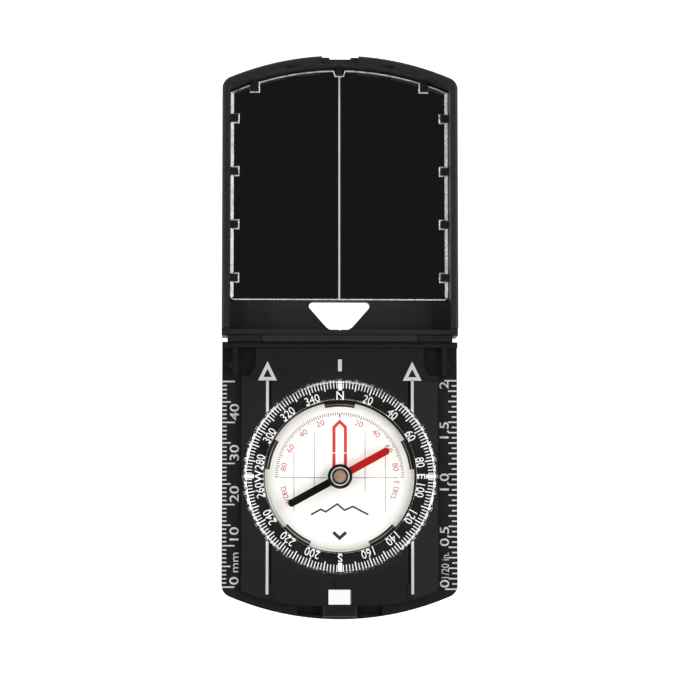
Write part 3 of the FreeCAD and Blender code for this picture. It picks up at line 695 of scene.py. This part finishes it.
@dataclass
class Base:
    """The base: shell, deck, hinge pins and what is printed on them. Millimetres from the hinge line.

    Attributes:
        strip: Height of the ruler strips.
        deck: Height of the deck beside the hinge.
        crest: Height of the deck round the dial.
        edge: Where the ruler ticks start, out from the middle line.
        tick_width: Width of a ruler tick.
        mm_ticks: Lengths of the ticks at tens, fives and ones.
        inch_ticks: Lengths of the ticks at the ends, at tenths and between them.
        zero_mm: Where the millimetre ruler starts.
        zero_inch: Where the inch ruler starts.
        left_foot: The line that the millimetre ruler's lettering stands on.
        right_foot: The line that the inch ruler's lettering stands on.
        mm_lead: How far past its tick a millimetre label starts.
        mm_unit: How far past the zero the word for millimetres starts.
        inch_labels: Each half inch's label and how far past its tick it starts.
        inch_unit: How far past the zero the word for inches starts.
        line_offset: Distance of a direction line from the middle line.
        line_width: Width of a direction line.
        line_end: The far end of a direction line.
        line_tuck: How far a direction line runs in under the dial's edge.
        slope: Where the crest starts.
        arrow: Half width, foot and tip of an arrowhead.
        hollow: Half width, foot and tip of the opening in it.
        arrow_lap: How far its line runs into it.
        index: Half width, top and foot of the index mark.
        index_round: Radius of the index mark's corners.
    """

    strip: float = 6.0
    deck: float = 7.8
    crest: float = 8.05
    edge: float = 28.65
    tick_width: float = 0.36
    mm_ticks: tuple[float, float, float] = (3.1, 2.1, 1.1)
    inch_ticks: tuple[float, float, float] = (3.0, 2.1, 1.25)
    zero_mm: float = -60.35
    zero_inch: float = -60.85
    left_foot: float = -24.6
    right_foot: float = 26.6
    mm_lead: float = 0.5
    mm_unit: float = 3.4
    inch_labels: tuple[tuple[str, float], ...] = (
        ("0", 0.3), ("0.5", -2.35), ("1.0", -2.2), ("1.5", -2.2), ("2", -2.1))
    inch_unit: float = 2.25
    line_offset: float = 17.65
    line_width: float = 0.66
    line_end: float = -62.1
    line_tuck: float = 0.25
    slope: float = -10.3
    arrow: tuple[float, float, float] = (2.3, -10.2, -5.5)
    hollow: tuple[float, float, float] = (1.0, -9.35, -7.35)
    arrow_lap: float = 0.1
    index: tuple[float, float, float] = (0.47, -5.0, -7.95)
    index_round: float = 0.18
    ruler_letters: Lettering = field(default_factory=lambda: Lettering(2.2, 2.05, 0.02))
    unit_letters: Lettering = field(default_factory=lambda: Lettering(1.95, 1.66, 0.01))
    small_letters: Lettering = field(default_factory=lambda: Lettering(1.85, 1.12, 0.0))

    def build(self) -> None:
        """Dresses the base's nodes and adds its prints."""
        self.hinge = joint_place("cover_fold")
        self.dial = joint_place("bezel_turn")
        self.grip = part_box("grip_ring")[1].x * 1000.0
        dress("base_tray", BASE_BLACK)
        dress("deck_plate", BASE_BLACK)
        dress("hinge_pin_left", PIN_STEEL)
        dress("hinge_pin_right", PIN_STEEL)
        self.rulers()
        self.direction_lines()
        self.index_mark()

    def rulers(self) -> None:
        """The millimetre ruler on the left and the inch ruler on the right."""
        prints = Sheetwork("ruler_prints")
        for step in range(51):
            kind = 0 if step % 10 == 0 else 1 if step % 5 == 0 else 2
            self.tick(prints, Side.LEFT, self.zero_mm + step, self.mm_ticks[kind])
        for step in range(41):
            kind = 0 if step in (0, 40) else 1 if step % 2 == 0 else 2
            self.tick(prints, Side.RIGHT, self.zero_inch + step * INCH / 20, self.inch_ticks[kind])
        for tens in range(5):
            y = self.zero_mm + tens * 10 + self.mm_lead
            self.label(prints, str(tens * 10), self.ruler_letters, self.left_foot, y)
        self.label(prints, "mm", self.unit_letters, self.left_foot, self.zero_mm + self.mm_unit)
        for halves, (text, lead) in enumerate(self.inch_labels):
            y = self.zero_inch + halves * INCH / 2 + lead
            self.label(prints, text, self.ruler_letters, self.right_foot, y)
        y = self.zero_inch + self.inch_unit
        self.label(prints, "1/20 in.", self.small_letters, self.right_foot, y)
        prints.finish("base", "dial_white", WHITE_INK)

    def tick(self, prints: Sheetwork, side: Side, y: float, length: float) -> None:
        """Adds a ruler tick of that length at y, running in from the edge on that side."""
        low, high = sorted((side.value * self.edge, side.value * (self.edge - length)))
        prints.bar((low, y), (high, y), self.tick_width, self.strip, from_line(self.hinge))

    def label(self, prints: Sheetwork, text: str, letters: Lettering, x: float, y: float) -> None:
        """Adds a label that reads towards the hinge.

        Args:
            prints: The mesh that it joins.
            text: What it says.
            letters: Its size.
            x: The line that it stands on.
            y: Where its first letter starts.
        """
        turn = Matrix.Rotation(math.pi / 2, 4, "Z")
        place = from_line(self.hinge, self.strip) @ Matrix.Translation((mm(x), mm(y), 0.0)) @ turn
        prints.words(text, letters, place, centred=False)

    def direction_lines(self) -> None:
        """Two arrows that run beside the dial, broken where the dial covers them."""
        prints = Sheetwork("direction_arrows")
        home = from_line(self.hinge)
        middle = (self.dial.y - self.hinge.y) * 1000.0
        half_chord = math.sqrt(self.grip**2 - self.line_offset**2) - self.line_tuck
        for side in Side:
            x = side.value * self.line_offset
            self.arrow_head(prints, x, home)
            neck = self.arrow[1] + self.arrow_lap
            prints.bar((x, neck), (x, self.slope), self.line_width, self.deck, home)
            prints.bar((x, self.slope), (x, middle + half_chord), self.line_width, self.crest, home)
            prints.bar((x, middle - half_chord), (x, self.line_end), self.line_width, self.crest, home)
        prints.finish("base", "dial_white", WHITE_INK)

    def arrow_head(self, prints: Sheetwork, x: float, home: Matrix) -> None:
        """Adds a hollow arrowhead as three plates.

        Args:
            prints: The mesh that it joins.
            x: Its middle line in millimetres.
            home: The hinge line's place.
        """
        outer, inner = ([(x - half, foot), (x + half, foot), (x, tip)]
                        for half, foot, tip in (self.arrow, self.hollow))
        for index in range(3):
            after = (index + 1) % 3
            corners = [outer[index], outer[after], inner[after], inner[index]]
            prints.plate(corners, self.deck - PRINT_SINK, self.deck + PRINT_RISE, home)

    def index_mark(self) -> None:
        """The short bar with rounded corners that bearings are read against."""
        prints = Sheetwork("index_mark")
        half, top, foot = self.index
        radius = self.index_round
        steps = [math.radians(step) for step in range(0, 91, 30)]
        arc = [(half - radius + radius * math.cos(step), radius - radius * math.sin(step))
               for step in steps]
        upper = [(x, top - y) for x, y in arc] + [(-x, top - y) for x, y in reversed(arc)]
        lower = [(-x, foot + y) for x, y in arc] + [(x, foot + y) for x, y in reversed(arc)]
        home = from_line(self.hinge)
        prints.plate(upper + lower, self.deck - PRINT_SINK, self.deck + PRINT_RISE, home)
        prints.finish("base", "dial_white", WHITE_INK)


# --- The cover ------------------------------------------------------------------------------------


@dataclass
class Cover:
    """The mirror cover: shell, mirror plate and sighting line. Millimetres from the hinge line.

    Attributes:
        half_width: Half the mirror's width.
        near: Where the mirror starts.
        reach: Radius of its arched edge.
        corner: Radius of its two corners beside the window.
        lip: Width of the bright lip round it.
        side_lip: Width of the lip along its sides.
        lip_rise: How far the lip rises at its outer edge.
        side_rise: The same along the sides.
        clip_gap: Gap between the mirror and a clip.
        clip_width: Width of a clip.
        clip_inner: How near the middle line a side clip reaches.
        clip_middles: Where the side clips are.
        arch_clip: Both sides and the foot of a clip on the arch.
        centre_clip: Half width at the root, half width at the tip and depth of the middle clip.
        arch_knee: Distance from the middle line of the arch's first point past the side.
        arch_points: The same for its points between the clips.
        line_width: Width of the sighting line.
    """

    half_width: float = 26.8
    near: float = 10.0
    reach: float = 67.2
    corner: float = 1.0
    lip: float = 0.3
    side_lip: float = 0.75
    lip_rise: float = 0.145
    side_rise: float = 0.22
    clip_gap: float = 0.16
    clip_width: float = 1.6
    clip_inner: float = 25.1
    clip_middles: tuple[float, ...] = (15.55, 28.75, 41.95, 55.15)
    arch_clip: tuple[float, float, float] = (20.1, 21.7, 62.0)
    centre_clip: tuple[float, float, float] = (1.2, 0.75, 1.2)
    arch_knee: float = 24.3
    arch_points: tuple[float, ...] = (17.5, 15.0, 12.0, 9.0, 6.0, 3.5)
    line_width: float = 0.42

    def build(self) -> None:
        """Dresses the cover and makes its mirror."""
        self.hinge = joint_place("cover_fold")
        self.low, self.high = (corner.z * 1000.0 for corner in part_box("mirror"))
        dress("mirror_cover", COVER_BLACK)
        self.mirror_plate()
        self.sighting_line()

    def arch(self, x: float) -> Point:
        """A point of the arched edge."""
        return x, math.sqrt(self.reach**2 - x**2)

    def outline(self) -> list[Point]:
        """The mirror's outline with a notch round each clip.

        Returns:
            Its corners in millimetres, counterclockwise from the lower right corner.
        """
        gap, side, corner = self.clip_gap, self.half_width, self.corner
        right = [(side - corner + corner * math.cos(math.radians(step)),
                  self.near + corner + corner * math.sin(math.radians(step))) for step in range(-90, 1, 15)]
        notch_in = self.clip_inner - gap
        for middle in self.clip_middles:
            low, high = middle - self.clip_width / 2 - gap, middle + self.clip_width / 2 + gap
            right += [(side, low), (notch_in, low), (notch_in, high), (side, high)]
        first, last, foot = self.arch_clip
        right += [self.arch(side), self.arch(self.arch_knee), self.arch(last + gap), (last + gap, foot - gap),
                  (first - gap, foot - gap), self.arch(first - gap)]
        root, tip, depth = self.centre_clip
        right += [self.arch(x) for x in (*self.arch_points, root + gap)]
        right += [(tip + gap, self.reach - depth - gap)]
        return right + [(-x, y) for x, y in reversed(right)]

    def mirror_plate(self) -> None:
        """The mirror: a plate with a bright lip along its outline, sloping in towards the mirror."""
        plate = Sheetwork("mirror_plate")
        plate.plate(self.outline(), self.low, self.high, from_line(self.hinge))
        mesh = plate.mesh
        mesh.normal_update()
        top = max(mesh.faces, key=lambda face: face.calc_center_median().z)
        rim = bmesh.ops.inset_region(mesh, faces=[top], thickness=mm(self.lip), use_even_offset=True)["faces"]
        edge = {vertex for face in rim for vertex in face.verts} - set(top.verts)
        for vertex in edge:
            on_side = abs(vertex.co.x) > mm(self.half_width - SIDE_MARGIN)
            vertex.co.z += mm(self.side_rise if on_side else self.lip_rise)
        for vertex in top.verts:
            if abs(vertex.co.x) > mm(self.half_width - self.lip - SIDE_MARGIN):
                vertex.co.x = math.copysign(mm(self.half_width - self.side_lip), vertex.co.x)
        for face in rim:
            face.material_index = 1
        piece = plate.finish("cover", "mirror", MIRROR, MIRROR_EDGE)
        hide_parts("mirror")

    def sighting_line(self) -> None:
        """The fine line down the middle of the mirror."""
        prints = Sheetwork("sighting_line")
        end = self.reach - self.centre_clip[2] - self.clip_gap - self.lip
        home = from_line(self.hinge)
        prints.bar((0.0, self.near + self.lip), (0.0, end), self.line_width, self.high, home)
        prints.finish("cover", "dial_white", WHITE_INK)


# --- The dial --------------------------------------------------------------------------------------


@dataclass
class Dial:
    """The turning dial: printed scale, clear grip ring, capsule and the prints on its card. Millimetres.

    Attributes:
        lobes: How many lobes the grip ring has.
        lobe_rise: How far a lobe stands out.
        lobe_share: Larger values make the lobes wider and the hollows between them narrower.
        steps_per_lobe: How finely the ring is turned.
        ring_inner: Inner radius of the grip ring.
        hollow_outer: Outer radius of its hollow over the scale.
        roof_gap: From the scale up to the ring's underside.
        satin_drop: How far down from the ring's top its satin edge goes.
        satin_inset: How far in from the ring's side the satin edge starts.
        tick_outer: Outer radius of the bearing ticks.
        tick_lengths: Length of a tick at tens and between them.
        tick_widths: Width of a tick at the four points, at tens and between them.
        number_radius: Radius of the middle of the bearing numbers.
        notches: How many notches the capsule's rim has.
        notch_sweep: Degrees that a notch spans.
        notch_line: Inner and outer radius of the line in a notch.
        card_circle: Inner and outer radius of the card's fine circle.
        level_line: How far the card's east-west line is from its centre.
        level_reach: Where the east-west line starts and ends.
        level_width: Its width.
        north_lines: Offset, low end and high end of each line that points north.
        north_width: The width of these lines.
        turn_outer: Outer radius of the declination ticks.
        turn_lengths: Length of such a tick at tens and between them.
        turn_width: Width of such a tick.
        turn_numbers: Radius of the middle of the declination numbers.
        turn_words: Radius and pitch in degrees of the letters of the declination words.
        turn_starts: Each declination word and the bearing of its first letter.
        arrow_half: Half the width of the orienting arrow.
        arrow_line: Width of the line that it is drawn with.
        arrow_levels: Foot, break's low end, break's high end, shoulder and tip of the arrow.
        north_mark: Low end, high end and width of the black north mark.
        pointer: Corners of the pointer at the card's foot.
        pointer_width: Width of its line.
        ridge: Corners of the plain mountain line.
        ridge_width: Width of the mountain line.
    """

    lobes: int = 36
    lobe_rise: float = 0.36
    lobe_share: float = 0.25
    steps_per_lobe: int = 12
    ring_inner: float = 18.56
    hollow_outer: float = 22.92
    roof_gap: float = 0.06
    satin_drop: float = 0.4
    satin_inset: float = 0.7
    tick_outer: float = 22.6
    tick_lengths: tuple[float, float] = (1.7, 1.2)
    tick_widths: tuple[float, float, float] = (1.0, 0.28, 0.23)
    number_radius: float = 19.82
    notches: int = 5
    notch_sweep: float = 22.0
    notch_line: Point = (17.65, 17.85)
    card_circle: Point = (17.72, 17.82)
    level_line: float = -0.2
    level_reach: Point = (3.2, 14.3)
    level_width: float = 0.18
    north_lines: tuple[tuple[float, float, float], ...] = ((11.15, -8.4, 6.2), (6.2, -3.6, 11.0))
    north_width: float = 0.16
    turn_outer: float = 15.75
    turn_lengths: tuple[float, float] = (1.0, 0.7)
    turn_width: float = 0.2
    turn_numbers: float = 13.85
    turn_words: Point = (14.0, 3.3)
    turn_starts: tuple[tuple[str, float], ...] = (("E DECL.", 95.5), ("W DECL.", -116.0))
    arrow_half: float = 1.4
    arrow_line: float = 0.76
    arrow_levels: tuple[float, ...] = (2.3, 5.75, 5.95, 12.1, 13.5)
    north_mark: tuple[float, float, float] = (14.5, 15.5, 0.26)
    pointer: tuple[Point, ...] = ((-1.55, -13.45), (0.0, -14.9), (1.55, -13.45))
    pointer_width: float = 0.8
    ridge: tuple[Point, ...] = (
        (-7.0, -9.2), (-4.6, -7.9), (-3.4, -8.5), (-0.6, -6.6), (1.2, -8.1), (3.2, -7.2), (7.0, -9.2))
    ridge_width: float = 0.45
    ring_letters: Lettering = field(default_factory=lambda: Lettering(1.9, 1.28, 0.0))
    point_letters: Lettering = field(default_factory=lambda: Lettering(1.8, 1.4, 0.02))
    card_letters: Lettering = field(default_factory=lambda: Lettering(1.35, 1.06, 0.0))
    small_letters: Lettering = field(default_factory=lambda: Lettering(1.2, 0.82, 0.0))

    def build(self) -> None:
        """Dresses the dial's nodes and makes its ring and prints."""
        self.centre = joint_place("bezel_turn")
        self.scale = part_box("scale_ring")[1].z * 1000.0
        self.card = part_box("dial_card")[1].z * 1000.0
        finishes = {"scale_ring": RING_BLACK, "retaining_ring": SMOOTH_BLACK, "capsule_base": SMOOTH_BLACK,
                    "dial_card": CARD, "capsule_seal": RUBBER, "capsule_dome": DOME_CLEAR,
                    "pivot_post": STEEL, "filler_plug": RUBBER}
        for node, finish in finishes.items():
            dress(node, finish)
        self.grip_ring()
        self.bearing_scale()
        self.card_lines()
        self.card_arrow()
        self.declination_words()
        self.card_marks()

    def ring_section(self, base: float, top: float, core: float) -> list[Point]:
        """The grip ring's section.

        Args:
            base: Height of the ring's foot in millimetres.
            top: Height of its top in millimetres.
            core: Radius of its side between two lobes in millimetres.

        Returns:
            Radius and height of each corner in millimetres.
        """
        inner, roof = self.ring_inner, self.scale + self.roof_gap
        hollow = [(inner, roof), (self.hollow_outer, roof), (self.hollow_outer, base)]
        foot = [(core - 0.1, base), (core, base + 0.1)]
        side = [(core, top - 0.85), (core, top - 0.7), (core - 0.05, top - 0.5)]
        cone = [(core - 0.15, top - 0.3), (core - 0.75, top)]
        flat = [(core - 0.85, top), (inner + 0.45, top), (inner + 0.35, top)]
        rounding = [(inner + 0.1, top - 0.1), (inner, top - 0.35), (inner, top - 0.45)]
        return hollow + foot + side + cone + flat + rounding

    def grip_ring(self) -> None:
        """The clear ring over the scale, turned from its section, with rounded lobes along its side."""
        low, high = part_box("grip_ring")
        base, top = low.z * 1000.0, high.z * 1000.0
        core = high.x * 1000.0 - self.lobe_rise
        ring = Sheetwork("lobed_grip_ring")
        around = Vector((self.centre.x, self.centre.y, 0.0))
        verts = [ring.mesh.verts.new((around.x + mm(radius), around.y, mm(z)))
                 for radius, z in self.ring_section(base, top, core)]
        edges = [ring.mesh.edges.new((vertex, after)) for vertex, after in zip(verts, verts[1:] + verts[:1])]
        bmesh.ops.spin(ring.mesh, geom=verts + edges, cent=around, axis=(0.0, 0.0, 1.0),
                       dvec=(0.0, 0.0, 0.0), angle=2 * math.pi, steps=self.lobes * self.steps_per_lobe,
                       use_merge=True)
        for vertex in ring.mesh.verts:
            arm = Vector((vertex.co.x - around.x, vertex.co.y - around.y, 0.0))
            if arm.length * 1000.0 > core - 0.1 and vertex.co.z < mm(top - self.satin_drop):
                wave = math.cos(self.lobes * math.atan2(arm.x, arm.y))
                lift = self.lobe_rise * max(0.0, wave + self.lobe_share) / (1.0 + self.lobe_share)
                vertex.co += arm.normalized() * mm(lift)
        for face in ring.mesh.faces:
            middle = face.calc_center_median()
            outside = (middle - around).xy.length > mm(core - self.satin_inset)
            if outside and middle.z > mm(top - self.satin_drop):
                face.material_index = 1
        piece = ring.finish("bezel", "clear_plastic", CLEAR, EDGE_CLEAR, smooth=15.0)
        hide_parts("grip_ring")

    def bearing_scale(self) -> None:
        """Ticks every two degrees, numbers every twenty and the four points."""
        prints = Sheetwork("bearing_scale")
        for bearing in range(0, 360, 2):
            length = self.tick_lengths[0 if bearing % 10 == 0 else 1]
            width = self.tick_widths[0 if bearing % 90 == 0 else 1 if bearing % 10 == 0 else 2]
            place = at_bearing(self.centre, bearing, self.tick_outer, 0.0)
            prints.bar((0.0, -length), (0.0, 0.0), width, self.scale, place)
        for bearing in range(0, 360, 20):
            if bearing not in (0, 180):
                self.ring_word(prints, str(bearing), bearing, self.ring_letters)
        for letter, bearing in (("N", 0), ("E", 90), ("S", 180), ("W", 270)):
            self.ring_word(prints, letter, bearing, self.point_letters)
        prints.finish("bezel", "dial_white", WHITE_INK)

    def ring_word(self, prints: Sheetwork, text: str, bearing: float, letters: Lettering) -> None:
        """Adds a label on the ring, its top outwards."""
        prints.words(text, letters, at_bearing(self.centre, bearing, self.number_radius, self.scale))

    def card_lines(self) -> None:
        """The fine circle, the four north lines, the east-west line and the declination ticks."""
        rings = Sheetwork("card_circles")
        rings.arc(self.centre, *self.card_circle, self.card)
        rings.finish("bezel", "dial_white", PALE_INK)
        home = from_line(self.centre)
        lines = Sheetwork("card_grid")
        level = self.level_line
        start, end = self.level_reach
        for side in Side:
            lines.bar((side.value * start, level), (side.value * end, level), self.level_width,
                      self.card, home)
            for offset, low, high in self.north_lines:
                x = offset * side.value
                for ends in ((low, level - LINE_GAP), (level + LINE_GAP, high)):
                    lines.bar((x, ends[0]), (x, ends[1]), self.north_width, self.card, home)
        for bearing in range(-90, 91, 2):
            if bearing:
                length = self.turn_lengths[0 if bearing % 10 == 0 else 1]
                place = at_bearing(self.centre, bearing, self.turn_outer, 0.0)
                lines.bar((0.0, -length), (0.0, 0.0), self.turn_width, self.card, place)
        lines.finish("bezel", "dial_white", GREY_INK)

    def card_arrow(self) -> None:
        """The red outlined arrow that the needle is brought over, broken across its sides."""
        red = Sheetwork("orienting_arrow")
        home = from_line(self.centre)
        half, width = self.arrow_half, self.arrow_line
        foot, under, over, shoulder, tip = self.arrow_levels
        head = [(-half, over), (-half, shoulder), (0.0, tip), (half, shoulder), (half, over)]
        red.stroke(head, width, self.card, home)
        for side in Side:
            red.bar((side.value * half, foot), (side.value * half, under), width, self.card, home)
        red.finish("bezel", "needle_paint", RED_INK)

    def declination_words(self) -> None:
        """The numbers and words of the declination scale."""
        rose = Sheetwork("declination_numbers")
        for bearing in (20, 40, 60, 80):
            for side in Side:
                place = at_bearing(self.centre, side.value * bearing, self.turn_numbers, self.card)
                rose.words(str(bearing), self.card_letters, place)
        radius, pitch = self.turn_words
        for text, start in self.turn_starts:
            for index, letter in enumerate(text):
                if letter != " ":
                    place = at_bearing(self.centre, start + index * pitch, radius, self.card)
                    rose.words(letter, self.small_letters, place)
        rose.finish("bezel", "needle_paint", ROSE_INK)

    def card_marks(self) -> None:
        """The black north mark, foot pointer and mountain line, and the brown lines in the notches."""
        black = Sheetwork("card_marks")
        home = from_line(self.centre)
        low, high, width = self.north_mark
        black.bar((0.0, low), (0.0, high), width, self.card, home)
        black.stroke(self.pointer, self.pointer_width, self.card, home)
        black.stroke(self.ridge, self.ridge_width, self.card, home)
        black.finish("bezel", "scale_black", BLACK_INK)
        brown = Sheetwork("notch_lines")
        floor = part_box("dial_card")[0].z * 1000.0
        for turn in range(self.notches):
            start = turn * 360.0 / self.notches - self.notch_sweep / 2
            brown.arc(self.centre, *self.notch_line, floor, start, self.notch_sweep)
        brown.finish("bezel", "brass", BROWN_INK)


@dataclass
class Needle:
    """The needle and its hub.

    Attributes:
        bearing: Degrees clockwise from +Y that the needle's red end points to at rest.
    """

    bearing: float = 61.2

    def build(self) -> None:
        """Dresses the needle's nodes."""
        centre = joint_place("needle_turn")
        paint = NeedlePaint("two_tone_paint", (0.004, 0.004, 0.004), (0.006, 0.006, 0.006), (0.3, 0.42),
                            relief=0.001, specular=0.15, centre=(centre.x, centre.y), bearing=self.bearing)
        dress("needle_bar", paint)
        dress("needle_hub", HUB_BLACK)
        dress("hub_collar", BRIGHT)
        dress("jewel_cup", COPPER)
        dress("pivot_jewel", JEWEL)


# --- The studio -----------------------------------------------------------------------------------


@dataclass
class Studio:
    """A pale floor, soft lights round a dark zenith, and the camera. Sizes in metres.

    Attributes:
        camera_distance: From the camera to what it looks at.
        camera_offset: How far the camera stands across and along from that.
        aim: What the camera looks at, across and along from the hinge.
        lens: Focal length in millimetres.
        floor_size: Side of the floor.
        zenith: Brightness of the surround.
        light_distance: From the lights to the compass.
        lights: Each light's azimuth, height, level side, other side and power.
    """

    camera_distance: float = 0.70
    camera_offset: Point = (-0.022, -0.061)
    aim: Point = (0.0, -0.00033)
    lens: float = 152.0
    floor_size: float = 3.0
    zenith: float = 0.0095
    light_distance: float = 0.8
    lights: tuple[tuple[float, float, float, float, float], ...] = (
        (-60.0, 35.5, 0.44, 0.08, 0.6), (-90.0, 36.8, 0.44, 0.08, 0.65), (-120.0, 37.6, 0.44, 0.08, 0.6),
        (60.0, 32.4, 0.44, 0.08, 0.6), (90.0, 33.2, 0.44, 0.08, 0.65), (120.0, 34.5, 0.44, 0.08, 0.6),
        (-90.0, 62.0, 0.6, 0.08, 0.5), (90.0, 57.0, 0.6, 0.2, 1.0),
        (180.0, 45.0, 0.5, 0.2, 0.7), (0.0, 36.0, 0.5, 0.2, 0.7))

    def build(self) -> None:
        """Sets the stage, the lights and the camera."""
        self.floor()
        self.world()
        for index, settings in enumerate(self.lights):
            self.softbox(f"softbox_{index}", *settings)
        self.camera()

    def floor(self) -> None:
        """A plain pale floor."""
        mesh = bmesh.new()
        bmesh.ops.create_grid(mesh, x_segments=1, y_segments=1, size=self.floor_size / 2)
        data = bpy.data.meshes.new("floor")
        mesh.to_mesh(data)
        mesh.free()
        data.materials.append(PALE_FLOOR.build())
        piece = bpy.data.objects.new("floor", data)
        bpy.context.scene.collection.objects.link(piece)

    def world(self) -> None:
        """A near-black surround, which the mirror shows."""
        world = bpy.data.worlds.new("studio")
        world.use_nodes = True
        background = world.node_tree.nodes["Background"]
        background.inputs["Color"].default_value = (self.zenith, self.zenith, self.zenith, 1.0)
        bpy.context.scene.world = world
        bpy.context.scene.view_settings.view_transform = "Standard"

    def softbox(self, name: str, azimuth: float, height: float, length: float, width: float,
                power: float) -> None:
        """Adds a soft light that faces the compass.

        Args:
            name: The light's name.
            azimuth: Degrees clockwise from +Y, seen from above.
            height: Degrees above the floor.
            length: Its level side in metres.
            width: Its other side in metres.
            power: Power in watts.
        """
        data = bpy.data.lights.new(name, "AREA")
        data.shape = "RECTANGLE"
        data.size = length
        data.size_y = width
        data.energy = power
        turn, rise = math.radians(azimuth), math.radians(height)
        toward = Vector((math.sin(turn) * math.cos(rise), math.cos(turn) * math.cos(rise), math.sin(rise)))
        light = bpy.data.objects.new(name, data)
        light.location = toward * self.light_distance
        light.rotation_euler = toward.to_track_quat("Z", "Y").to_euler()
        bpy.context.scene.collection.objects.link(light)

    def camera(self) -> None:
        """The camera, high over the compass, a little to its left and towards the base's end."""
        target = joint_place("cover_fold") + Vector((*self.aim, 0.0))
        away = Vector((*self.camera_offset, 0.0))
        away.z = math.sqrt(self.camera_distance**2 - away.length_squared)
        back = away.normalized()
        right = Vector((0.0, 1.0, 0.0)).cross(back).normalized()
        data = bpy.data.cameras.new("camera")
        data.lens = self.lens
        camera = bpy.data.objects.new("camera", data)
        turn = Matrix((right, back.cross(right), back)).transposed().to_4x4()
        camera.matrix_world = Matrix.Translation(target + away) @ turn
        bpy.context.scene.collection.objects.link(camera)
        bpy.context.scene.camera = camera


def main() -> None:
    """Builds the looks of the compass, sub-assembly by sub-assembly."""
    logging.basicConfig(level=logging.INFO, format="%(name)s: %(message)s")
    for assembly in (Base(), Cover(), Dial(), Needle(), Studio()):
        assembly.build()


if __name__ == "__main__":
    main()
